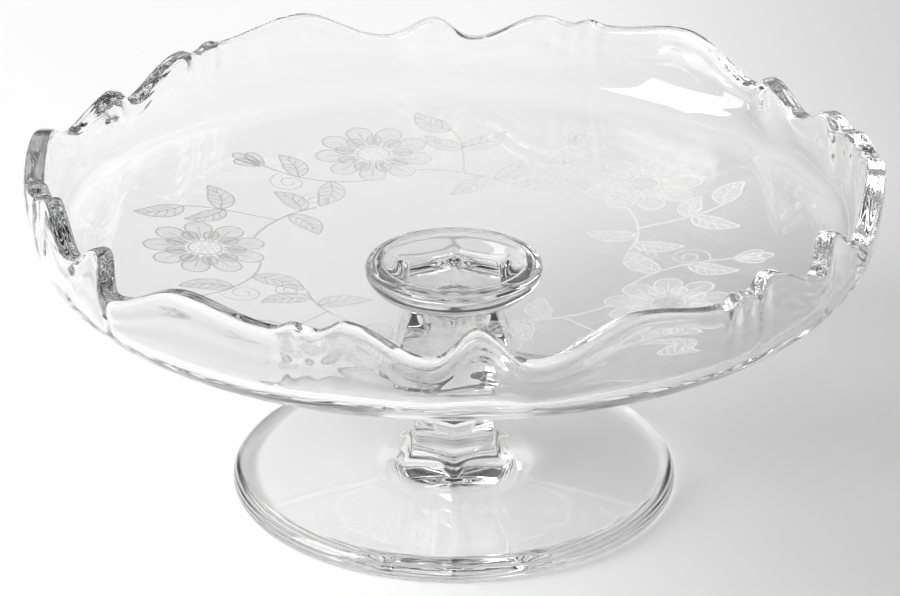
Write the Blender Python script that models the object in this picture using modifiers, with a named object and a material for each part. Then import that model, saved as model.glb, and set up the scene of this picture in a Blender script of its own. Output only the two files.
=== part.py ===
"""Footed honey dish of clear pressed glass, in four hot-joined pieces.

Metres, +Z up. The origin is on the table, under the middle of the foot, and -Y is the front.
"""
import math

import bpy

# Foot: a round disc with a rounded edge, flared up to a neck
FOOT_RADIUS = 0.0447
FOOT_HEIGHT = 0.0095
FOOT_EDGE = 0.0046
# The edge is widest at this height, and rounds over by these widths above and below it
EDGE_SIDE = 0.0016
EDGE_WIDTH = 0.0034
EDGE_UNDER = 0.0014
FLARE_WIDTH = 0.0080
FLARE_HEIGHT = 0.0044
FLARE_PULL = 0.55
BASE_RING_WIDTH = 0.0090
# The underside rises from its resting ring to the middle by this much
BASE_RECESS = 0.0008

# Stem: six flat sides, with corner radii for its base, waist, swelling and top
STEM_SIDES = 6
STEM_LENGTH = 0.0269
STEM_BASE_RADIUS = 0.0096
STEM_WAIST_RADIUS = 0.0093
STEM_WAIST_HEIGHT = 0.0042
STEM_SWELLING_RADIUS = 0.0136
STEM_SWELLING_HEIGHT = 0.0145
STEM_TOP_RADIUS = 0.0103

# Collar: the cup of glass between stem and bowl, bulging below and drawn in to the stem
COLLAR_RADIUS = 0.0177
COLLAR_THICKNESS = 0.0082
COLLAR_EDGE = 0.0014
COLLAR_NECK = 0.0106
# Handles of the curve from the collar's edge down to its neck
COLLAR_BELLY = 0.0030
NECK_SPREAD = 0.0035
NECK_RISE = 0.0022

# Bowl: a floor that rises a little, a turned-up wall and a rounded rim
RIM_RADIUS = 0.0840
RIM_BEAD = 0.0042
WALL_THICKNESS = 0.0034
FLOOR_THICKNESS = 0.0040
FLOOR_RISE = 0.0045
TURN_WIDTH = 0.0120
WALL_HEIGHT = 0.0190
# Handles of the curve that turns the floor up into the wall, as shares of turn and wall
TURN_PULL = 0.62
WALL_PULL = 0.29
WALL_FLARE = 0.05

# Scalloped rim: one repeat holds a short lobe, a long lobe, a small scroll and a medium lobe.
# Each point is a dip or a crest: degrees from the deep dip, height from the mean rim, lean inwards.
SCALLOP_REPEATS = 6
SCALLOP_START = -92.9
SCALLOP_POINTS = (
    (0.0, -0.0040, 0.0022),
    (6.0, 0.0010, 0.0038),
    (12.8, -0.0040, 0.0003),
    (26.8, 0.0028, 0.0000),
    (39.5, 0.0002, 0.0002),
    (42.0, 0.0012, 0.0008),
    (45.0, 0.0002, 0.0014),
    (48.5, 0.0018, 0.0026),
)

# Gap kept between two pieces that are joined face to face
WELD_GAP = 0.0003

# How finely the curves are cut
BOWL_STEPS = 216
ROUND_STEPS = 96
COLLAR_STEPS = 72
FLOOR_CUTS = 4
WALL_CUTS = 6
EDGE_CUTS = 6
BEAD_CUTS = 5
DOME_CUTS = 3
FLARE_CUTS = 5
STEM_CUTS = 8

# Heights that follow from the sizes above
STEM_BASE = FOOT_HEIGHT + WELD_GAP
COLLAR_BASE = STEM_BASE + STEM_LENGTH + WELD_GAP
BOWL_BASE = COLLAR_BASE + COLLAR_THICKNESS + WELD_GAP

# Clear glass: colour, roughness, metallic value, index of refraction
GLASS_COLOUR = (0.93, 0.95, 0.95, 1.0)
GLASS_ROUGHNESS = 0.03
GLASS_METALLIC = 0.0
GLASS_IOR = 1.52


def clear_scene():
    for old in list(bpy.data.objects):
        bpy.data.objects.remove(old, do_unlink=True)


def glass(name):
    material = bpy.data.materials.new(name)
    material.use_nodes = True
    shader = material.node_tree.nodes["Principled BSDF"]
    shader.inputs["Base Color"].default_value = GLASS_COLOUR
    shader.inputs["Roughness"].default_value = GLASS_ROUGHNESS
    shader.inputs["Metallic"].default_value = GLASS_METALLIC
    shader.inputs["IOR"].default_value = GLASS_IOR
    shader.inputs["Transmission Weight"].default_value = 1.0
    return material


def arc(centre_r, centre_z, width, height, start, end, cuts):
    """Points of a round or oval arc in the profile plane, from one angle in degrees to another."""
    points = []
    for i in range(cuts + 1):
        angle = math.radians(start + (end - start) * i / cuts)
        points.append((centre_r + width * math.cos(angle), centre_z + height * math.sin(angle)))
    return points


def bezier(p0, p1, p2, p3, t):
    s = 1.0 - t
    weights = (s * s * s, 3.0 * s * s * t, 3.0 * s * t * t, t * t * t)
    return tuple(sum(w * p[axis] for w, p in zip(weights, (p0, p1, p2, p3))) for axis in (0, 1))


def turned(name, profile, steps, height, smooth=True):
    """A profile in (radius, height), turned round the Z axis and set at a height."""
    mesh = bpy.data.meshes.new(name)
    edges = [(i, i + 1) for i in range(len(profile) - 1)]
    mesh.from_pydata([(r, 0.0, z) for r, z in profile], edges, [])
    mesh.materials.append(glass(name + "_glass"))
    piece = bpy.data.objects.new(name, mesh)
    collection.objects.link(piece)
    piece.parent = base
    piece.location.z = height
    turn = piece.modifiers.new("turn", "SCREW")
    turn.axis = "Z"
    turn.angle = math.tau
    turn.steps = steps
    turn.render_steps = steps
    turn.use_merge_vertices = True
    turn.merge_threshold = 0.00001
    turn.use_smooth_shade = smooth
    return piece


def eased(low, high, cuts):
    """Soft S-curve up from one (radius, height) point to another, without its first point."""
    points = []
    for i in range(1, cuts + 1):
        share = i / cuts
        turn = 0.5 - 0.5 * math.cos(math.pi * share)
        points.append((low[0] + (high[0] - low[0]) * turn, low[1] + (high[1] - low[1]) * share))
    return points


def foot_profile():
    root = (STEM_BASE_RADIUS + FLARE_WIDTH, FOOT_HEIGHT - FLARE_HEIGHT)
    shoulder = (FOOT_RADIUS - EDGE_WIDTH, FOOT_EDGE)
    slope = (shoulder[1] - root[1]) / (shoulder[0] - root[0])
    reach = FLARE_WIDTH * FLARE_PULL
    neck = (STEM_BASE_RADIUS, FOOT_HEIGHT)
    neck_pull = (STEM_BASE_RADIUS, FOOT_HEIGHT - FLARE_HEIGHT * FLARE_PULL)
    root_pull = (root[0] - reach, root[1] - slope * reach)
    points = [(0.0, FOOT_HEIGHT)]
    points += [bezier(neck, neck_pull, root_pull, root, i / FLARE_CUTS) for i in range(FLARE_CUTS + 1)]
    for i in range(1, DOME_CUTS):
        share = i / DOME_CUTS
        points.append(tuple(a + (b - a) * share for a, b in zip(root, shoulder)))
    points += arc(shoulder[0], EDGE_SIDE, EDGE_WIDTH, FOOT_EDGE - EDGE_SIDE, 90.0, 0.0, EDGE_CUTS)
    under = FOOT_RADIUS - EDGE_UNDER
    points += arc(under, EDGE_SIDE, EDGE_UNDER, EDGE_SIDE, 0.0, -90.0, EDGE_CUTS)[1:]
    ring_inside = under - BASE_RING_WIDTH
    points.append((ring_inside, 0.0))
    points.append((0.0, BASE_RECESS))
    return points


def stem_profile():
    """Corner radius of the six-sided stem, from its top down."""
    foot_end = (STEM_BASE_RADIUS, 0.0)
    waist = (STEM_WAIST_RADIUS, STEM_WAIST_HEIGHT)
    swelling = (STEM_SWELLING_RADIUS, STEM_SWELLING_HEIGHT)
    top_end = (STEM_TOP_RADIUS, STEM_LENGTH)
    side = [foot_end, waist] + eased(waist, swelling, STEM_CUTS) + eased(swelling, top_end, STEM_CUTS)
    return [(0.0, STEM_LENGTH)] + side[::-1] + [(0.0, 0.0)]


def collar_profile():
    """Flat top with a rounded edge, and an underside that bulges down and in to the neck."""
    waist = COLLAR_THICKNESS - COLLAR_EDGE
    edge = (COLLAR_RADIUS, waist)
    belly = (COLLAR_RADIUS, waist - COLLAR_BELLY)
    spread = (COLLAR_NECK + NECK_SPREAD, NECK_RISE)
    neck = (COLLAR_NECK, 0.0)
    points = [(0.0, COLLAR_THICKNESS)]
    points += arc(COLLAR_RADIUS - COLLAR_EDGE, waist, COLLAR_EDGE, COLLAR_EDGE, 90.0, 0.0, BEAD_CUTS)
    points += [bezier(edge, belly, spread, neck, i / EDGE_CUTS) for i in range(1, EDGE_CUTS + 1)]
    points.append((0.0, 0.0))
    return points


def bowl_outside():
    """Underside and outer wall, from the middle outwards, as (point, slope, glass thickness)."""
    floor_radius = RIM_RADIUS - TURN_WIDTH
    slope = 2.0 * FLOOR_RISE / floor_radius
    samples = []
    for i in range(FLOOR_CUTS):
        r = floor_radius * i / FLOOR_CUTS
        z = FLOOR_RISE * (r / floor_radius) ** 2
        samples.append(((r, z), slope * r / floor_radius, FLOOR_THICKNESS))
    start = (floor_radius, FLOOR_RISE)
    reach = TURN_WIDTH * TURN_PULL
    start_pull = (floor_radius + reach, FLOOR_RISE + slope * reach)
    end = (RIM_RADIUS, FLOOR_RISE + WALL_HEIGHT - RIM_BEAD / 2.0)
    end_pull = (RIM_RADIUS - TURN_WIDTH * WALL_FLARE, FLOOR_RISE + WALL_HEIGHT * WALL_PULL)
    curve = [bezier(start, start_pull, end_pull, end, i / WALL_CUTS) for i in range(WALL_CUTS + 1)]
    for i, point in enumerate(curve):
        before = curve[max(i - 1, 0)]
        after = curve[min(i + 1, WALL_CUTS)]
        rise = math.inf if i == WALL_CUTS else (after[1] - before[1]) / (after[0] - before[0])
        rise = slope if i == 0 else rise
        share = i / WALL_CUTS
        if share < 0.5:
            thickness = FLOOR_THICKNESS + (WALL_THICKNESS - FLOOR_THICKNESS) * share * 2.0
        else:
            thickness = WALL_THICKNESS + (RIM_BEAD - WALL_THICKNESS) * (share * 2.0 - 1.0)
        samples.append((point, rise, thickness))
    return samples


def bowl_profile():
    """Closed section of the bowl with a level rim: inside, round the bead, and down the outside."""
    outside = bowl_outside()
    inside = []
    for (r, z), rise, thickness in outside:
        lean = math.atan(rise)
        inside.append((max(r - thickness * math.sin(lean), 0.0), z + thickness * math.cos(lean)))
    bead = RIM_BEAD / 2.0
    bead_z = outside[-1][0][1]
    rounded = arc(RIM_RADIUS - bead, bead_z, bead, bead, 180.0, 0.0, BEAD_CUTS)
    return inside[:-1] + rounded + [point for point, rise, thickness in reversed(outside[:-1])]


def scallop(angle):
    """Height of the rim's edge above its mean, and its lean inwards, at an angle in degrees."""
    repeat = 360.0 / SCALLOP_REPEATS
    place = (angle - SCALLOP_START) % repeat
    closing = (repeat,) + SCALLOP_POINTS[0][1:]
    points = SCALLOP_POINTS + (closing,)
    for before, after in zip(points, points[1:]):
        if before[0] <= place <= after[0]:
            share = (place - before[0]) / (after[0] - before[0])
            share = 0.5 - 0.5 * math.cos(math.pi * share)
            return tuple(a + (b - a) * share for a, b in zip(before[1:], after[1:]))
    return closing[1:]


def cut_scallops(piece):
    """Brings the wall to the scalloped, leaning edge, fading out where the floor turns up."""
    view = bpy.context.evaluated_depsgraph_get()
    mesh = bpy.data.meshes.new_from_object(piece.evaluated_get(view))
    wall_base = FLOOR_RISE + FLOOR_THICKNESS
    wall_top = FLOOR_RISE + WALL_HEIGHT
    for vertex in mesh.vertices:
        share = (vertex.co.z - wall_base) / (wall_top - wall_base)
        share = min(max(share, 0.0), 1.0)
        share = share * share * (3.0 - 2.0 * share)
        angle = math.atan2(vertex.co.y, vertex.co.x)
        height, lean = scallop(math.degrees(angle))
        vertex.co.z += height * share
        vertex.co.x -= lean * share * math.cos(angle)
        vertex.co.y -= lean * share * math.sin(angle)
    piece.modifiers.clear()
    piece.data = mesh
    mesh.name = piece.name


clear_scene()
collection = bpy.data.collections.new("honey_dish")
bpy.context.scene.collection.children.link(collection)
base = bpy.data.objects.new("honey_dish_base", None)
collection.objects.link(base)

foot = turned("foot", foot_profile(), ROUND_STEPS, 0.0)
stem = turned("stem", stem_profile(), STEM_SIDES, STEM_BASE, smooth=False)
stem.rotation_euler.z = math.pi / STEM_SIDES
collar = turned("collar", collar_profile(), COLLAR_STEPS, COLLAR_BASE)
bowl = turned("bowl", bowl_profile(), BOWL_STEPS, BOWL_BASE)
cut_scallops(bowl)
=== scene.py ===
"""Looks of the footed glass honey dish: clear glass, etched flower sprays, pale studio.

Metres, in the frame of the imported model. The four glass pieces are rebuilt finely, one for one.
"""
import math

import bpy
import numpy as np
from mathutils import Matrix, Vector


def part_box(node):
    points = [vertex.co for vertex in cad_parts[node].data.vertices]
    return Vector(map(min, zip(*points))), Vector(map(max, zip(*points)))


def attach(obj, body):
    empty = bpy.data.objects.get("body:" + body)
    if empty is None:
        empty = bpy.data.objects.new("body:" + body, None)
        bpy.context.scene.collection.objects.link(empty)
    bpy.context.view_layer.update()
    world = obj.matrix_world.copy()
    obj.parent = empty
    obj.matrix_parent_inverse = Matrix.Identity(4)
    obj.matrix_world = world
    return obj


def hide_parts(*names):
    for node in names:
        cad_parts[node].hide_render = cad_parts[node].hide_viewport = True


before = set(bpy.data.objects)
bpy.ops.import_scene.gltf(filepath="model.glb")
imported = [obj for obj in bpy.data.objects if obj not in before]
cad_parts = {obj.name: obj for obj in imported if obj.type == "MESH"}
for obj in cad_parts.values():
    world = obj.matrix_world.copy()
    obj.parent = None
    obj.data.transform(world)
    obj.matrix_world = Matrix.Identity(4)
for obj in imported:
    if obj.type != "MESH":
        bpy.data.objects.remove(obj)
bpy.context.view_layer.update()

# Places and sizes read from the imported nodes
_, FOOT_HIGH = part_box("foot")
STEM_LOW, STEM_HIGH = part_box("stem")
COLLAR_LOW, COLLAR_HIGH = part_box("collar")
BOWL_LOW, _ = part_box("bowl")
FOOT_RADIUS = FOOT_HIGH.x
COLLAR_RADIUS = COLLAR_HIGH.x
BOWL_BASE = BOWL_LOW.z
# The pieces meet half way across the gaps that the solids keep
FOOT_WELD = (FOOT_HIGH.z + STEM_LOW.z) / 2.0
STEM_WELD = (STEM_HIGH.z + COLLAR_LOW.z) / 2.0
COLLAR_WELD = (COLLAR_HIGH.z + BOWL_LOW.z) / 2.0
WELD_SLIT = 0.000004

# Bowl: floor, turned-up wall and rounded rim, as in the solids, a little inside their box
FIRE_POLISH = 0.00015
RIM_RADIUS = 0.0840 - FIRE_POLISH
RIM_BEAD = 0.0042
# 1 is a round bead, less is flatter on top
RIM_ROUNDNESS = 0.55
WALL_THICKNESS = 0.0034
FLOOR_THICKNESS = 0.0040
FLOOR_RISE = 0.0045
TURN_WIDTH = 0.0120
WALL_HEIGHT = 0.0190 - FIRE_POLISH
TURN_PULL = 0.62
WALL_PULL = 0.29
WALL_FLARE = 0.05
BOWL_WELD_RADIUS = 0.0140
WELD_FILLET = 0.0012
# The rings of the underside stop this many fillets outside the weld
FILLET_CLEARANCE = 1.5
# Shares of the fillet's width at which it has a ring
FILLET_SHARES = (0.0, 0.3, 0.6, 0.85, 1.0)
FLOOR_RADIUS = RIM_RADIUS - TURN_WIDTH
FLOOR_SLOPE = 2.0 * FLOOR_RISE / FLOOR_RADIUS
WALL_BASE = BOWL_BASE + FLOOR_RISE + FLOOR_THICKNESS
WALL_TOP = BOWL_BASE + FLOOR_RISE + WALL_HEIGHT
DEGREE_AT_RIM = RIM_RADIUS * math.radians(1.0)

# Scalloped rim: degrees from the deep dip, height from the mean rim, lean inwards
SCALLOP_REPEATS = 6
SCALLOP_REPEAT = 360.0 / SCALLOP_REPEATS
SCALLOP_START = -92.9
SCALLOP_POINTS = (
    (0.0, -0.0040, 0.0022),
    (6.0, 0.0010, 0.0038),
    (12.8, -0.0040, 0.0003),
    (26.8, 0.0028, 0.0000),
    (39.5, 0.0002, 0.0002),
    (42.0, 0.0012, 0.0008),
    (45.0, 0.0002, 0.0014),
    (48.5, 0.0018, 0.0026),
)
# Pressed eyes of the scrolls: degrees, depth below the edge, half width, half height, sunk by
SCROLL_EYES = (
    (6.6, 0.0056, 0.0030, 0.0012, 0.00026),
    (51.6, 0.0062, 0.0036, 0.0012, 0.00026),
    (42.0, 0.0050, 0.0016, 0.0010, 0.00014),
)
# Raised lip round an eye: its place and width over the eye's size, its height over the eye's depth
EYE_LIP_PLACE = 1.7
EYE_LIP_WIDTH = 0.45
EYE_LIP_HEIGHT = 0.4
# Shallow ripples of the pressed wall, running along the rim, from a start to an end below its edge
RIPPLE_PITCH = 0.0046
RIPPLE_DEPTH = 0.00004
RIPPLE_START = 0.0018
RIPPLE_FADE_IN = 0.0015
RIPPLE_END = 0.0150
RIPPLE_FADE_OUT = 0.0040
# Radians by which the ripples wander, and how often in each repeat
RIPPLE_WANDER = 0.9
RIPPLE_SWINGS = 2.0
# Groove that borders the rim
BORDER_GROOVE = 0.0044
BORDER_HALF_WIDTH = 0.0011
BORDER_DEPTH = 0.00012

# Stem, collar and foot
STEM_SIDES = 6
STEM_BASE_RADIUS = 0.0096
STEM_WAIST_RADIUS = 0.0093
STEM_WAIST_HEIGHT = 0.0042
STEM_SWELLING_RADIUS = 0.0136
STEM_SWELLING_HEIGHT = 0.0145
STEM_TOP_RADIUS = 0.0103
STEM_CORNER_SHARPNESS = 34.0
COLLAR_EDGE = 0.0014
COLLAR_NECK = 0.0106
COLLAR_BELLY = 0.0030
NECK_SPREAD = 0.0035
NECK_RISE = 0.0022
FLARE_WIDTH = 0.0080
FLARE_HEIGHT = 0.0044
FLARE_PULL = 0.55
# The flare turns from six-sided to round this many times faster than it runs out
FLARE_ROUNDING = 1.5
FOOT_EDGE = 0.0046
EDGE_SIDE = 0.0016
EDGE_WIDTH = 0.0034
EDGE_UNDER = 0.0014
BASE_RING_WIDTH = 0.0090
BASE_RECESS = 0.0008

# Mesh fineness: segments round a piece, and cuts along each stretch of its profile
BOWL_SEGMENTS = 1080
ROUND_SEGMENTS = 360
FLOOR_CUTS = 16
WALL_CUTS = 72
BEAD_CUTS = 48
COLLAR_EDGE_CUTS = 12
COLLAR_SIDE_CUTS = 32
STEM_CUTS = 72
FLARE_CUTS = 32
FOOT_TOP_CUTS = 10
FOOT_EDGE_CUTS = 28
FOOT_UNDER_CUTS = 16
RECESS_CUTS = 16
# Share of a curve over which its slope is measured
SLOPE_STEP = 0.001
# A radius below this is on the axis
ON_AXIS = 1e-9

# Etched sprays on the floor of the bowl, drawn flat round the middle of the dish
SPRAYS = 5
SPRAY_START = 38.0
LINE_WIDTH = 0.00042
VEIN_WIDTH = 0.00028
FILL_LIFT = 0.000012
LINE_LIFT = 0.000024
# Passes in which the height of the floor under the decoration is found
FLOOR_PASSES = 4
# Curves of one spray: start, two pulls and end, and the width of the line
CURVE_CUTS = 24
SPRAY_CURVES = {
    "stalk": ((0.0270, -0.0215), (0.0330, -0.0190), (0.0385, -0.0110), (0.0395, -0.0060)),
    "branch": ((0.0345, -0.0150), (0.0420, -0.0170), (0.0480, -0.0205), (0.0540, -0.0190)),
    "runner": ((0.0380, 0.0050), (0.0380, 0.0130), (0.0430, 0.0200), (0.0500, 0.0240)),
}
CURVE_WIDTHS = {"stalk": LINE_WIDTH * 1.4, "branch": LINE_WIDTH * 1.2, "runner": LINE_WIDTH * 1.2}
# Leaves: curve, point along it, heading in degrees, length, width, bend
LEAVES = (
    ("branch", 24, 24.0, 0.0105, 0.0054, 0.12),
    ("branch", 14, -75.0, 0.0110, 0.0052, -0.12),
    ("branch", 13, 35.0, 0.0095, 0.0046, 0.12),
    ("stalk", 8, 125.0, 0.0105, 0.0050, 0.12),
    ("stalk", 4, -55.0, 0.0100, 0.0048, -0.12),
    ("runner", 8, 150.0, 0.0115, 0.0054, 0.12),
    ("runner", 15, 5.0, 0.0105, 0.0050, -0.12),
)
LEAF_POINTS = 25
# Below 1 the leaf is widest nearer its base, and fuller towards its ends
LEAF_BALANCE = 0.8
LEAF_FULLNESS = 0.85
LEAF_RIB_TAPER = 0.5
# Veins of a leaf: points of the rib where they start, points they run along, share of the half width
VEIN_STARTS = (4, 8, 12, 16)
VEIN_RUN = 4
VEIN_REACH = 0.85
VEIN_POINTS = 4
# Tendrils: curve, point along it, heading in degrees, size
TENDRILS = (
    ("runner", 19, 110.0, 0.0075),
    ("stalk", 0, 210.0, 0.0060),
)
TENDRIL_POINTS = 60
TENDRIL_TURN = 3.6 * math.pi
TENDRIL_QUICKENING = 1.1
TENDRIL_TIGHTENING = 0.8
# Steps that the full size of a tendril is divided into
TENDRIL_STEPS = 10.0
# Petal: share of its width at the base, what it gains by the middle, form of its sides and tip
PETAL_POINTS = 15
PETAL_BASE = 0.42
PETAL_SWELL = 0.58
PETAL_WAVE = 0.72
PETAL_FULLNESS = 1.2
PETAL_TIP = 6
PETAL_VEIN = slice(2, 11)
# Blossom: place and size, then start, end and width of its petals as shares of its radius
FLOWER_PLACE = (0.0490, 0.0)
FLOWER_RADIUS = 0.0122
FLOWER_PETALS = 9
LONG_PETAL = (0.34, 1.0, 0.46)
SHORT_PETAL = (0.30, 0.66, 0.26)
EYE_SHARE = 0.27
EYE_POINTS = 41
# Seeds of the eye: how many in a ring, radius of the ring and of a seed as shares
SEED_RINGS = ((1, 0.0), (6, 0.11), (10, 0.20))
SEED_SHARE = 0.035
SEED_POINTS = 13
# Bud: heading and length, then turn in radians and share of the length for each petal
BUD_HEADING = 35.0
BUD_LENGTH = 0.0075
BUD_PETALS = ((-0.42, 0.8), (0.0, 1.0), (0.42, 0.8))
BUD_WIDTH_SHARE = 0.42

# Clear glass: handling haze where its noise is high, and slow waves of pressing
WHITE = (1.0, 1.0, 1.0, 1.0)
GLASS_IOR = 1.52
HAZE_SCALE = 55.0
HAZE_DETAIL = 3.0
HAZE_FROM = 0.55
HAZE_TO = 0.75
HAZE_ROUGHNESS = 0.02
WAVE_SCALE = 80.0
WAVE_DETAIL = 1.0
WAVE_HEIGHT = 0.00002
# Frosted glass: painted shade on the left of the dish, painted light on its right, and its grain
FROST_PAINTED_SHADE_LEFT = 0.50
FROST_PAINTED_LIGHT_RIGHT = 0.98
FROST_REACH = 0.05
FROST_ROUGHNESS = 0.75
FILL_ALPHA = 0.22
LINE_ALPHA = 0.65
GRAIN_SCALE = 2600.0
GRAIN_DETAIL = 2.0
GRAIN_FROM = 0.3
GRAIN_TO = 0.7
GRAIN_DARK = 0.82
GRAIN_HEIGHT = 0.00004

# Studio floor: white paper with painted shade that turns it light grey to the right
FLOOR_SIZE = 20.0
FLOOR_DROP = 0.00005
FLOOR_WHITE = 0.95
FLOOR_PAINTED_SHADE_GREY = 0.65
FADE_FROM = 0.0
FADE_TO = 0.16
PAPER_ROUGHNESS = 0.9
# World: lobes of light, each with its middle, the cosines between which it fades in, and its strength
SOFT_BASE = 0.28
SOFT_LIGHT = (((-0.76, 0.10, 0.64), 0.3, 0.95, 1.12),)
ROOM_BASE = 0.02
SHOWN_ROOM = (
    ((0.42, 0.68, 0.60), 0.90, 0.97, 0.9),
    ((-0.38, 0.74, 0.55), 0.90, 0.97, 0.6),
    ((0.0, 0.98, 0.2), 0.6, 0.95, 0.08),
)
# Lamps: name, place, width and height, watts
LAMPS = (("window", (-1.36, -0.40, 0.89), (0.80, 1.10), 18.0),)
LAMP_AIM = (0.0, 0.0, 0.03)
LIGHT_BOUNCES = 40
# Camera at the photograph's angle, solved from the outlines of the foot and the rim
CAMERA_PLACE = (-0.0008, -0.6645, 0.3488)
CAMERA_TILT = 24.93
LENS = 147.7
SENSOR_WIDTH = 36.0
NEAR_CLIP = 0.01


# Shared shapes
def arc(centre_r, centre_z, width, height, start, end, cuts):
    """Points of a round or oval arc in the profile plane, from one angle in degrees to another."""
    points = []
    for i in range(cuts + 1):
        angle = math.radians(start + (end - start) * i / cuts)
        points.append((centre_r + width * math.cos(angle), centre_z + height * math.sin(angle)))
    return points


def bezier(p0, p1, p2, p3, t):
    s = 1.0 - t
    weights = (s * s * s, 3.0 * s * s * t, 3.0 * s * t * t, t * t * t)
    return tuple(sum(w * p[axis] for w, p in zip(weights, (p0, p1, p2, p3))) for axis in (0, 1))


def smooth(share):
    share = min(max(share, 0.0), 1.0)
    return share * share * (3.0 - 2.0 * share)


def angles(segments):
    return np.arange(segments) * (2.0 * math.pi / segments)


def add_piece(name, verts, faces, materials, indices=None):
    mesh = bpy.data.meshes.new(name)
    mesh.from_pydata([tuple(v) for v in verts], [], faces)
    for material in materials:
        mesh.materials.append(material)
    if indices is not None:
        mesh.polygons.foreach_set("material_index", indices)
    mesh.shade_smooth()
    mesh.update()
    piece = bpy.data.objects.new(name, mesh)
    bpy.context.scene.collection.objects.link(piece)
    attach(piece, "root")
    return piece


def loft(name, node, rings, materials, welds):
    """Closed piece from rings of points, where a ring of one point is a pole.

    The bands between rings that welds lists take the second material.
    """
    starts = np.cumsum([0] + [len(points) for points in rings])
    faces = []
    indices = []
    for band, (upper, lower) in enumerate(zip(rings, rings[1:])):
        first = starts[band]
        second = starts[band + 1]
        count = max(len(upper), len(lower))
        for i in range(count):
            j = (i + 1) % count
            if len(upper) == 1:
                faces.append((first, second + i, second + j))
            elif len(lower) == 1:
                faces.append((first + i, second, first + j))
            else:
                faces.append((first + i, second + i, second + j, first + j))
            indices.append(1 if band in welds else 0)
    piece = add_piece(name, np.concatenate(rings), faces, materials, indices)
    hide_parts(node)
    # Casters keep the dish's shade; the foot isn't one, so that the floor under it stays bright
    piece.cycles.is_caustics_caster = node != "foot"
    return piece


def ring(radius, height, turn):
    height = np.broadcast_to(height, turn.shape)
    return np.stack([radius * np.cos(turn), radius * np.sin(turn), height], -1)


def round_ring(radius, height):
    return ring(radius, height, angles(ROUND_SEGMENTS))


def pole(height):
    return np.array([[0.0, 0.0, height]])


def six_sided(turn):
    """Outline of a rounded hexagon over its corner radius, with a corner to the front."""
    total = np.zeros_like(turn)
    for side in range(STEM_SIDES):
        facing = np.cos(turn - side * 2.0 * math.pi / STEM_SIDES)
        total += np.maximum(facing, 0.0) ** STEM_CORNER_SHARPNESS
    return math.cos(math.pi / STEM_SIDES) * total ** (-1.0 / STEM_CORNER_SHARPNESS)


def shaped_ring(radius, height, roundness):
    """Ring between a hexagon (0) and a circle (1)."""
    turn = angles(ROUND_SEGMENTS)
    return ring(radius * (six_sided(turn) * (1.0 - roundness) + roundness), height, turn)


# Bowl
def scallop(angle):
    """Height of the rim's edge above its mean, and its lean inwards, at an angle in degrees."""
    place = (angle - SCALLOP_START) % SCALLOP_REPEAT
    closing = (SCALLOP_REPEAT,) + SCALLOP_POINTS[0][1:]
    points = SCALLOP_POINTS + (closing,)
    for before, after in zip(points, points[1:]):
        if place <= after[0]:
            break
    share = (place - before[0]) / (after[0] - before[0])
    share = 0.5 - 0.5 * math.cos(math.pi * share)
    return tuple(a + (b - a) * share for a, b in zip(before[1:], after[1:]))


def under_floor(r):
    return BOWL_BASE + FLOOR_RISE * (r / FLOOR_RADIUS) ** 2


def bowl_outside():
    """Underside and outer wall from the middle outwards: (radius, height), slope angle, thickness."""
    samples = []
    for i in range(FLOOR_CUTS):
        r = FLOOR_RADIUS * i / FLOOR_CUTS
        lean = math.atan(FLOOR_SLOPE * r / FLOOR_RADIUS)
        samples.append(((r, under_floor(r)), lean, FLOOR_THICKNESS))
    low = BOWL_BASE + FLOOR_RISE
    reach = TURN_WIDTH * TURN_PULL
    start = (FLOOR_RADIUS, low)
    start_pull = (FLOOR_RADIUS + reach, low + FLOOR_SLOPE * reach)
    end = (RIM_RADIUS, low + WALL_HEIGHT - RIM_BEAD / 2.0)
    end_pull = (RIM_RADIUS - TURN_WIDTH * WALL_FLARE, low + WALL_HEIGHT * WALL_PULL)
    for i in range(WALL_CUTS + 1):
        t = i / WALL_CUTS
        point = bezier(start, start_pull, end_pull, end, t)
        before = bezier(start, start_pull, end_pull, end, max(t - SLOPE_STEP, 0.0))
        after = bezier(start, start_pull, end_pull, end, min(t + SLOPE_STEP, 1.0))
        lean = math.atan2(after[1] - before[1], after[0] - before[0])
        # The floor thins to the wall over the lower half, and the wall swells to the bead over the upper
        thin = FLOOR_THICKNESS + (WALL_THICKNESS - FLOOR_THICKNESS) * smooth(t * 2.0)
        thickness = thin + (RIM_BEAD - WALL_THICKNESS) * smooth(t * 2.0 - 1.0)
        samples.append((point, lean, thickness))
    return samples


def bowl_section():
    """Section with a level rim, up the inside and down the outside: radius, height, side.

    The side is -1 on the inside, 0 on the bead and 1 on the outside.
    """
    outside = bowl_outside()
    section = []
    for (r, z), lean, thickness in outside[:-1]:
        section.append((max(r - thickness * math.sin(lean), 0.0), z + thickness * math.cos(lean), -1))
    bead = RIM_BEAD / 2.0
    (_, bead_base), _, _ = outside[-1]
    for x, y in arc(0.0, 0.0, 1.0, 1.0, 180.0, 0.0, BEAD_CUTS):
        across = math.copysign(abs(x) ** RIM_ROUNDNESS, x)
        up = max(y, 0.0) ** RIM_ROUNDNESS
        section.append((RIM_RADIUS - bead + bead * across, bead_base + bead * up, 0))
    for (r, z), _, _ in reversed(outside[:-1]):
        if r > BOWL_WELD_RADIUS + WELD_FILLET * FILLET_CLEARANCE:
            section.append((r, z, 1))
    return section


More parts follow.
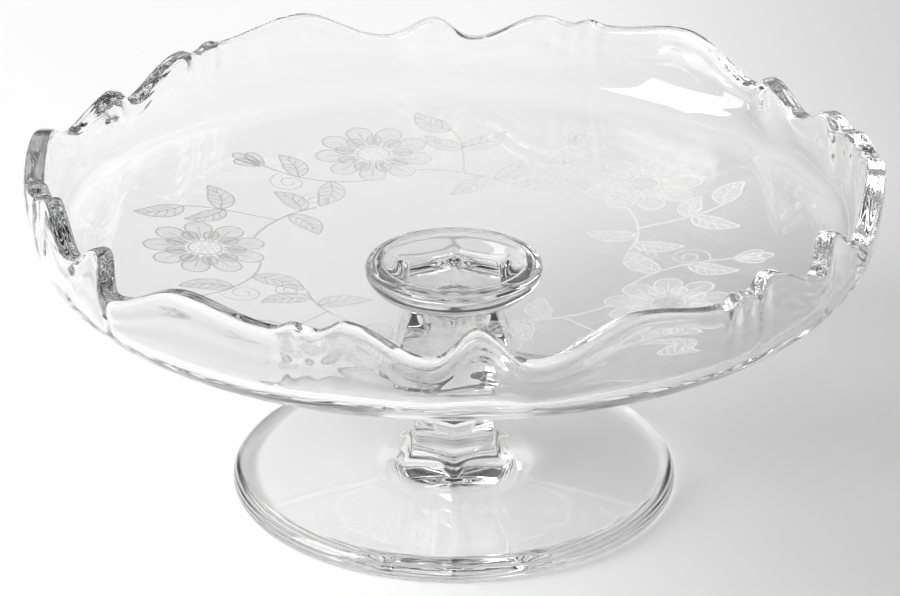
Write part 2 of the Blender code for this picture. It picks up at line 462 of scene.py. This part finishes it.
def relief(place, below_edge):
    """Pressed relief of the wall, outwards, for places in degrees within one repeat."""
    fade_in = smooth((below_edge - RIPPLE_START) / RIPPLE_FADE_IN)
    fade_out = smooth((RIPPLE_END - below_edge) / RIPPLE_FADE_OUT)
    wander = RIPPLE_WANDER * np.sin(np.radians(place * SCALLOP_REPEATS * RIPPLE_SWINGS))
    wave = np.sin(2.0 * math.pi * below_edge / RIPPLE_PITCH + wander)
    groove = math.exp(-((below_edge - BORDER_GROOVE) / BORDER_HALF_WIDTH) ** 2)
    height = RIPPLE_DEPTH * (fade_in * fade_out) * wave - BORDER_DEPTH * groove
    for centre, depth, half_width, half_height, sunk in SCROLL_EYES:
        across = (place - centre) * DEGREE_AT_RIM / half_width
        down = (below_edge - depth) / half_height
        spread = np.sqrt(across ** 2 + down ** 2)
        lip = np.exp(-((spread - EYE_LIP_PLACE) / EYE_LIP_WIDTH) ** 2)
        height = height - sunk * np.exp(-spread ** 4) + sunk * EYE_LIP_HEIGHT * lip
    return height


def bowl_rings():
    turn = angles(BOWL_SEGMENTS)
    edge = np.array([scallop(math.degrees(a)) for a in turn])
    place = (np.degrees(turn) - SCALLOP_START) % SCALLOP_REPEAT
    rings = []
    for r, z, side in bowl_section():
        if r < ON_AXIS:
            rings.append(pole(z))
            continue
        share = smooth((z - WALL_BASE) / (WALL_TOP - WALL_BASE))
        radius = r - edge[:, 1] * share
        if side > 0 and z > WALL_BASE:
            radius = radius + relief(place, WALL_TOP - z) * share
        rings.append(ring(radius, z + edge[:, 0] * share, turn))
    top = under_floor(BOWL_WELD_RADIUS + WELD_FILLET)
    bottom = COLLAR_WELD + WELD_SLIT
    for share in FILLET_SHARES:
        lift = math.sqrt(1.0 - share * share)
        radius = BOWL_WELD_RADIUS + WELD_FILLET * (1.0 - share)
        rings.append(ring(radius, bottom + (top - bottom) * lift, turn))
    rings.append(pole(bottom))
    return rings


# Collar, stem and foot
def stem_radius(height, length):
    """Corner radius of the stem: a flared base, a waist, a swelling and the neck under the collar."""
    if height < STEM_WAIST_HEIGHT:
        share = height / STEM_WAIST_HEIGHT
        return STEM_BASE_RADIUS + (STEM_WAIST_RADIUS - STEM_BASE_RADIUS) * share
    if height < STEM_SWELLING_HEIGHT:
        share = smooth((height - STEM_WAIST_HEIGHT) / (STEM_SWELLING_HEIGHT - STEM_WAIST_HEIGHT))
        return STEM_WAIST_RADIUS + (STEM_SWELLING_RADIUS - STEM_WAIST_RADIUS) * share
    share = smooth((height - STEM_SWELLING_HEIGHT) / (length - STEM_SWELLING_HEIGHT))
    return STEM_SWELLING_RADIUS + (STEM_TOP_RADIUS - STEM_SWELLING_RADIUS) * share


def collar_rings():
    """Round above and six-sided where it meets the stem."""
    top = COLLAR_WELD - WELD_SLIT
    bottom = STEM_WELD + WELD_SLIT
    waist = top - COLLAR_EDGE
    rings = [pole(top), round_ring(BOWL_WELD_RADIUS, top)]
    inset = COLLAR_RADIUS - COLLAR_EDGE
    for r, z in arc(inset, waist, COLLAR_EDGE, COLLAR_EDGE, 90.0, 0.0, COLLAR_EDGE_CUTS):
        rings.append(round_ring(r, z))
    edge = (COLLAR_RADIUS, waist)
    belly = (COLLAR_RADIUS, waist - COLLAR_BELLY)
    spread = (COLLAR_NECK + NECK_SPREAD, bottom + NECK_RISE)
    neck = (COLLAR_NECK, bottom)
    for i in range(1, COLLAR_SIDE_CUTS):
        share = i / COLLAR_SIDE_CUTS
        r, z = bezier(edge, belly, spread, neck, share)
        rings.append(shaped_ring(r, z, 1.0 - smooth(share * 2.0 - 1.0)))
    rings.append(shaped_ring(STEM_TOP_RADIUS, bottom, 0.0))
    rings.append(pole(bottom))
    return rings


def stem_rings():
    top = STEM_WELD - WELD_SLIT
    bottom = FOOT_WELD + WELD_SLIT
    length = top - bottom
    rings = [pole(top)]
    for i in range(STEM_CUTS + 1):
        height = length * (1.0 - i / STEM_CUTS)
        rings.append(shaped_ring(stem_radius(height, length), bottom + height, 0.0))
    rings.append(pole(bottom))
    return rings


def foot_rings():
    """Six-sided flare under the stem, sloping top, rounded edge, resting ring and recess."""
    seat = FOOT_WELD - WELD_SLIT
    shoulder = (FOOT_RADIUS - EDGE_WIDTH, FOOT_EDGE)
    root = (STEM_BASE_RADIUS + FLARE_WIDTH, FOOT_HIGH.z - FLARE_HEIGHT)
    slope = (shoulder[1] - root[1]) / (shoulder[0] - root[0])
    neck = (STEM_BASE_RADIUS, seat)
    neck_pull = (STEM_BASE_RADIUS, seat - FLARE_HEIGHT * FLARE_PULL)
    root_pull = (root[0] - FLARE_WIDTH * FLARE_PULL, root[1] - slope * FLARE_WIDTH * FLARE_PULL)
    rings = [pole(seat)]
    for i in range(FLARE_CUTS + 1):
        share = i / FLARE_CUTS
        r, z = bezier(neck, neck_pull, root_pull, root, share)
        rings.append(shaped_ring(r, z, smooth(share * FLARE_ROUNDING)))
    round_part = []
    for i in range(1, FOOT_TOP_CUTS):
        share = i / FOOT_TOP_CUTS
        round_part.append(tuple(a + (b - a) * share for a, b in zip(root, shoulder)))
    edge_height = FOOT_EDGE - EDGE_SIDE
    round_part += arc(shoulder[0], EDGE_SIDE, EDGE_WIDTH, edge_height, 90.0, 0.0, FOOT_EDGE_CUTS)
    ring_outside = FOOT_RADIUS - EDGE_UNDER
    round_part += arc(ring_outside, EDGE_SIDE, EDGE_UNDER, EDGE_SIDE, 0.0, -90.0, FOOT_UNDER_CUTS)[1:]
    ring_inside = ring_outside - BASE_RING_WIDTH
    for i in range(RECESS_CUTS):
        share = i / RECESS_CUTS
        round_part.append((ring_inside * (1.0 - share), BASE_RECESS * smooth(share)))
    for r, z in round_part:
        rings.append(round_ring(r, z))
    rings.append(pole(BASE_RECESS))
    return rings


# Etched sprays, as flat strips that are laid on the glass afterwards
lines = []
fills = []


def inner_floor(radius):
    """Height of the bowl's inner floor at a radius, found from the underside and the thickness."""
    r = radius
    for _ in range(FLOOR_PASSES):
        lean = np.arctan(FLOOR_SLOPE * r / FLOOR_RADIUS)
        r = radius + FLOOR_THICKNESS * np.sin(lean)
    return under_floor(r) + FLOOR_THICKNESS * np.cos(lean)


def sides(points):
    """Unit vectors to the left of each point of a path."""
    along = np.gradient(points, axis=0)
    along /= np.linalg.norm(along, axis=1)[:, None]
    return np.stack([-along[:, 1], along[:, 0]], -1)


def ribbon(store, points, widths):
    """A strip along a path; its width may change from point to point."""
    half = np.broadcast_to(np.asarray(widths) / 2.0, len(points))[:, None] * sides(points)
    store.append((points + half, points - half))


def unit(angle):
    return np.array([math.cos(angle), math.sin(angle)])


def circle(points):
    turn = np.linspace(0.0, 2.0 * math.pi, points)
    return np.stack([np.cos(turn), np.sin(turn)], -1)


def leaf(base, heading, length, width, bend):
    along = unit(heading)
    across = np.array([-along[1], along[0]])
    s = np.linspace(0.0, 1.0, LEAF_POINTS)
    rib = base + np.outer(s, along) * length + np.outer(np.sin(math.pi * s), across) * length * bend
    half = width / 2.0 * np.sin(math.pi * s ** LEAF_BALANCE) ** LEAF_FULLNESS
    left = sides(rib)
    ribbon(fills, rib, half * 2.0)
    ribbon(lines, rib, LINE_WIDTH * (1.0 - LEAF_RIB_TAPER * s))
    for sign in (-1.0, 1.0):
        ribbon(lines, rib + sign * left * half[:, None], LINE_WIDTH)
        for start in VEIN_STARTS:
            tip = start + VEIN_RUN
            end = rib[tip] + sign * left[tip] * half[tip] * VEIN_REACH
            ribbon(lines, np.linspace(rib[start], end, VEIN_POINTS), VEIN_WIDTH)


def petal(centre, heading, inner, outer, width):
    s = np.linspace(0.0, 1.0, PETAL_POINTS)
    rib = centre + np.outer(inner + (outer - inner) * s, unit(heading))
    half = width / 2.0 * (PETAL_BASE + PETAL_SWELL * np.sin(math.pi * s * PETAL_WAVE) ** PETAL_FULLNESS)
    half *= np.sqrt(np.maximum(1.0 - s ** PETAL_TIP, 0.0))
    left = sides(rib)
    ribbon(fills, rib, half * 2.0)
    outline = np.concatenate([rib + left * half[:, None], (rib - left * half[:, None])[::-1][1:]])
    ribbon(lines, outline, LINE_WIDTH)
    ribbon(lines, rib[PETAL_VEIN], VEIN_WIDTH)


def seed(centre, radius):
    ribbon(fills, centre + circle(SEED_POINTS) * radius / 2.0, radius)


def blossom(centre, radius, petals):
    """Open flower: a ring of long petals, a ring of short ones between them and a seeded eye."""
    step = 2.0 * math.pi / petals
    for i in range(petals):
        for offset, (inner, outer, width) in ((0.0, LONG_PETAL), (0.5, SHORT_PETAL)):
            petal(centre, (i + offset) * step, radius * inner, radius * outer, radius * width)
    ribbon(lines, centre + circle(EYE_POINTS) * radius * EYE_SHARE, LINE_WIDTH)
    for count, reach in SEED_RINGS:
        for i in range(count):
            seed(centre + unit(2.0 * math.pi * i / count) * radius * reach, radius * SEED_SHARE)


def bud(base, heading, length):
    for turn, share in BUD_PETALS:
        petal(base, heading + turn, 0.0, length * share, length * BUD_WIDTH_SHARE)


def tendril(start, heading, size):
    s = np.linspace(0.0, 1.0, TENDRIL_POINTS)
    angle = heading + TENDRIL_TURN * s ** TENDRIL_QUICKENING
    step = size * (1.0 - TENDRIL_TIGHTENING * s)[:, None] * np.stack([np.cos(angle), np.sin(angle)], -1)
    ribbon(lines, start + np.cumsum(step, axis=0) / TENDRIL_STEPS, VEIN_WIDTH)


def spray(turn):
    """One spray: a blossom, a bud and seven leaves on curling stalks, turned round the dish."""
    first_line = len(lines)
    first_fill = len(fills)
    curves = {}
    for name, pulls in SPRAY_CURVES.items():
        curves[name] = np.array([bezier(*pulls, i / CURVE_CUTS) for i in range(CURVE_CUTS + 1)])
        ribbon(lines, curves[name], CURVE_WIDTHS[name])
    blossom(np.array(FLOWER_PLACE), FLOWER_RADIUS, FLOWER_PETALS)
    bud(curves["runner"][-1], math.radians(BUD_HEADING), BUD_LENGTH)
    for name, point, heading, length, width, bend in LEAVES:
        leaf(curves[name][point], math.radians(heading), length, width, bend)
    for name, point, heading, size in TENDRILS:
        tendril(curves[name][point], math.radians(heading), size)
    spin = np.array([[math.cos(turn), math.sin(turn)], [-math.sin(turn), math.cos(turn)]])
    for store, first in ((lines, first_line), (fills, first_fill)):
        for i in range(first, len(store)):
            store[i] = tuple(edge @ spin for edge in store[i])


def laid_on_floor(name, store, lift, material):
    """Strips laid on the inner floor of the bowl as one thin piece."""
    verts = []
    faces = []
    for left, right in store:
        start = len(verts)
        flat = np.stack([left, right], 1).reshape(-1, 2)
        height = inner_floor(np.linalg.norm(flat, axis=1)) + lift
        verts.extend(np.column_stack([flat, height]))
        for i in range(len(left) - 1):
            a = start + 2 * i
            faces.append((a, a + 1, a + 3, a + 2))
    return add_piece(name, verts, faces, (material,))


# Materials
def new_material(name):
    material = bpy.data.materials.new(name)
    material.use_nodes = True
    return material, material.node_tree.nodes, material.node_tree.links


def noise(nodes, links, scale, detail):
    where = nodes.new("ShaderNodeTexCoord")
    grain = nodes.new("ShaderNodeTexNoise")
    grain.inputs["Scale"].default_value = scale
    grain.inputs["Detail"].default_value = detail
    links.new(where.outputs["Object"], grain.inputs["Vector"])
    return grain.outputs["Fac"]


def left_to_right(nodes, links):
    where = nodes.new("ShaderNodeTexCoord")
    axes = nodes.new("ShaderNodeSeparateXYZ")
    links.new(where.outputs["Object"], axes.inputs["Vector"])
    return axes.outputs["X"]


def ranged(nodes, links, value, low, high, from_low, from_high, interpolation="LINEAR"):
    change = nodes.new("ShaderNodeMapRange")
    change.interpolation_type = interpolation
    change.inputs["From Min"].default_value = from_low
    change.inputs["From Max"].default_value = from_high
    change.inputs["To Min"].default_value = low
    change.inputs["To Max"].default_value = high
    links.new(value, change.inputs["Value"])
    return change.outputs["Result"]


def bumped(nodes, links, shader, height, distance):
    bump = nodes.new("ShaderNodeBump")
    bump.inputs["Distance"].default_value = distance
    links.new(height, bump.inputs["Height"])
    links.new(bump.outputs["Normal"], shader.inputs["Normal"])


def clear_glass():
    """Clear glass with the slow waves of pressing and a little handling haze."""
    material, nodes, links = new_material("clear_glass")
    shader = nodes["Principled BSDF"]
    shader.inputs["Base Color"].default_value = WHITE
    shader.inputs["IOR"].default_value = GLASS_IOR
    shader.inputs["Transmission Weight"].default_value = 1.0
    haze = noise(nodes, links, HAZE_SCALE, HAZE_DETAIL)
    roughness = ranged(nodes, links, haze, 0.0, HAZE_ROUGHNESS, HAZE_FROM, HAZE_TO)
    links.new(roughness, shader.inputs["Roughness"])
    bumped(nodes, links, shader, noise(nodes, links, WAVE_SCALE, WAVE_DETAIL), WAVE_HEIGHT)
    return material


def weld_glass():
    """Where two pieces are melted together no surface is left, so nothing shows."""
    material, nodes, _ = new_material("glass_weld")
    nodes["Principled BSDF"].inputs["Alpha"].default_value = 0.0
    return material


def frost(name, alpha):
    """Etched, frosted glass: pale and grainy, letting part of the light through, with painted shade to
    the left and painted light to the right.
    """
    material, nodes, links = new_material(name)
    shader = nodes["Principled BSDF"]
    shader.inputs["Roughness"].default_value = FROST_ROUGHNESS
    shader.inputs["Alpha"].default_value = alpha
    across = left_to_right(nodes, links)
    grain = noise(nodes, links, GRAIN_SCALE, GRAIN_DETAIL)
    # Painted shade and light: the frost is darker to the left of the dish and lighter to the right
    shade = ranged(nodes, links, across, FROST_PAINTED_SHADE_LEFT, FROST_PAINTED_LIGHT_RIGHT, -FROST_REACH, FROST_REACH)
    speckle = ranged(nodes, links, grain, GRAIN_DARK, 1.0, GRAIN_FROM, GRAIN_TO)
    tone = nodes.new("ShaderNodeMath")
    tone.operation = "MULTIPLY"
    links.new(shade, tone.inputs[0])
    links.new(speckle, tone.inputs[1])
    links.new(tone.outputs["Value"], shader.inputs["Base Color"])
    bumped(nodes, links, shader, grain, GRAIN_HEIGHT)
    return material


# Studio
def studio_floor():
    mesh = bpy.data.meshes.new("studio_floor")
    half = FLOOR_SIZE / 2.0
    outline = ((-half, -half), (half, -half), (half, half), (-half, half))
    mesh.from_pydata([(x, y, -FLOOR_DROP) for x, y in outline], [], [(0, 1, 2, 3)])
    floor = bpy.data.objects.new("studio_floor", mesh)
    bpy.context.scene.collection.objects.link(floor)
    material, nodes, links = new_material("studio_paper")
    shader = nodes["Principled BSDF"]
    shader.inputs["Roughness"].default_value = PAPER_ROUGHNESS
    shader.inputs["Specular IOR Level"].default_value = 0.0
    across = left_to_right(nodes, links)
    # Painted shade: the paper's colour greys towards the right, as if the light fell off there
    fade = ranged(nodes, links, across, FLOOR_WHITE, FLOOR_PAINTED_SHADE_GREY, FADE_FROM, FADE_TO, "SMOOTHSTEP")
    links.new(fade, shader.inputs["Base Color"])
    mesh.materials.append(material)
    floor.cycles.is_caustics_receiver = True


def glow(nodes, links, base, lobes):
    """Light of the room by direction: an even base and soft lobes."""
    direction = nodes.new("ShaderNodeTexCoord")
    total = None
    for side, dark_from, bright_from, strength in lobes:
        towards = nodes.new("ShaderNodeVectorMath")
        towards.operation = "DOT_PRODUCT"
        towards.inputs[1].default_value = side
        links.new(direction.outputs["Generated"], towards.inputs[0])
        cosine = towards.outputs["Value"]
        level = ranged(nodes, links, cosine, 0.0, strength, dark_from, bright_from, "SMOOTHSTEP")
        both = nodes.new("ShaderNodeMath")
        both.operation = "ADD"
        both.inputs[0].default_value = base
        if total is not None:
            links.new(total, both.inputs[0])
        links.new(level, both.inputs[1])
        total = both.outputs["Value"]
    return total


def studio_world():
    """Soft white light from the left; the clear glass itself shows a dimmer room."""
    world = bpy.data.worlds.new("studio")
    bpy.context.scene.world = world
    world.use_nodes = True
    nodes = world.node_tree.nodes
    links = world.node_tree.links
    route = nodes.new("ShaderNodeLightPath")
    lit = nodes.new("ShaderNodeMix")
    links.new(route.outputs["Diffuse Depth"], lit.inputs["Factor"])
    links.new(glow(nodes, links, ROOM_BASE, SHOWN_ROOM), lit.inputs["A"])
    links.new(glow(nodes, links, SOFT_BASE, SOFT_LIGHT), lit.inputs["B"])
    links.new(lit.outputs["Result"], nodes["Background"].inputs["Strength"])
    nodes["Background"].inputs["Color"].default_value = WHITE


def lamps():
    for name, place, size, watts in LAMPS:
        data = bpy.data.lights.new(name, "AREA")
        data.shape = "RECTANGLE"
        data.size, data.size_y = size
        data.energy = watts
        data.cycles.is_caustics_light = True
        lamp = bpy.data.objects.new(name, data)
        lamp.location = place
        aim = Vector(LAMP_AIM) - lamp.location
        lamp.rotation_euler = aim.to_track_quat("-Z", "Y").to_euler()
        bpy.context.scene.collection.objects.link(lamp)


def camera():
    data = bpy.data.cameras.new("camera")
    data.sensor_width = SENSOR_WIDTH
    data.lens = LENS
    data.clip_start = NEAR_CLIP
    eye = bpy.data.objects.new("camera", data)
    eye.location = CAMERA_PLACE
    eye.rotation_euler = (math.radians(90.0 - CAMERA_TILT), 0.0, 0.0)
    bpy.context.scene.collection.objects.link(eye)
    bpy.context.scene.camera = eye


def light_paths():
    """Enough bounces for many layers of glass, and no filter on the light that they focus."""
    cycles = bpy.context.scene.cycles
    cycles.max_bounces = LIGHT_BOUNCES
    cycles.transmission_bounces = LIGHT_BOUNCES
    cycles.glossy_bounces = LIGHT_BOUNCES
    cycles.transparent_max_bounces = LIGHT_BOUNCES
    cycles.blur_glossy = 0.0


# The dish: a piece's first band is melted to the piece above it, its last band to the one below
glass = (clear_glass(), weld_glass())
rings = bowl_rings()
loft("bowl_glass", "bowl", rings, glass, (len(rings) - 2,))
rings = collar_rings()
loft("collar_glass", "collar", rings, glass, (0, len(rings) - 2))
rings = stem_rings()
loft("stem_glass", "stem", rings, glass, (0, len(rings) - 2))
rings = foot_rings()
loft("foot_glass", "foot", rings, glass, (0,))
for number in range(SPRAYS):
    spray(math.radians(SPRAY_START + number * 360.0 / SPRAYS))
laid_on_floor("etched_fills", fills, FILL_LIFT, frost("etched_fill", FILL_ALPHA))
laid_on_floor("etched_lines", lines, LINE_LIFT, frost("etched_line", LINE_ALPHA))

# The studio round it
studio_floor()
studio_world()
lamps()
camera()
light_paths()
bpy.context.scene.view_settings.view_transform = "Standard"
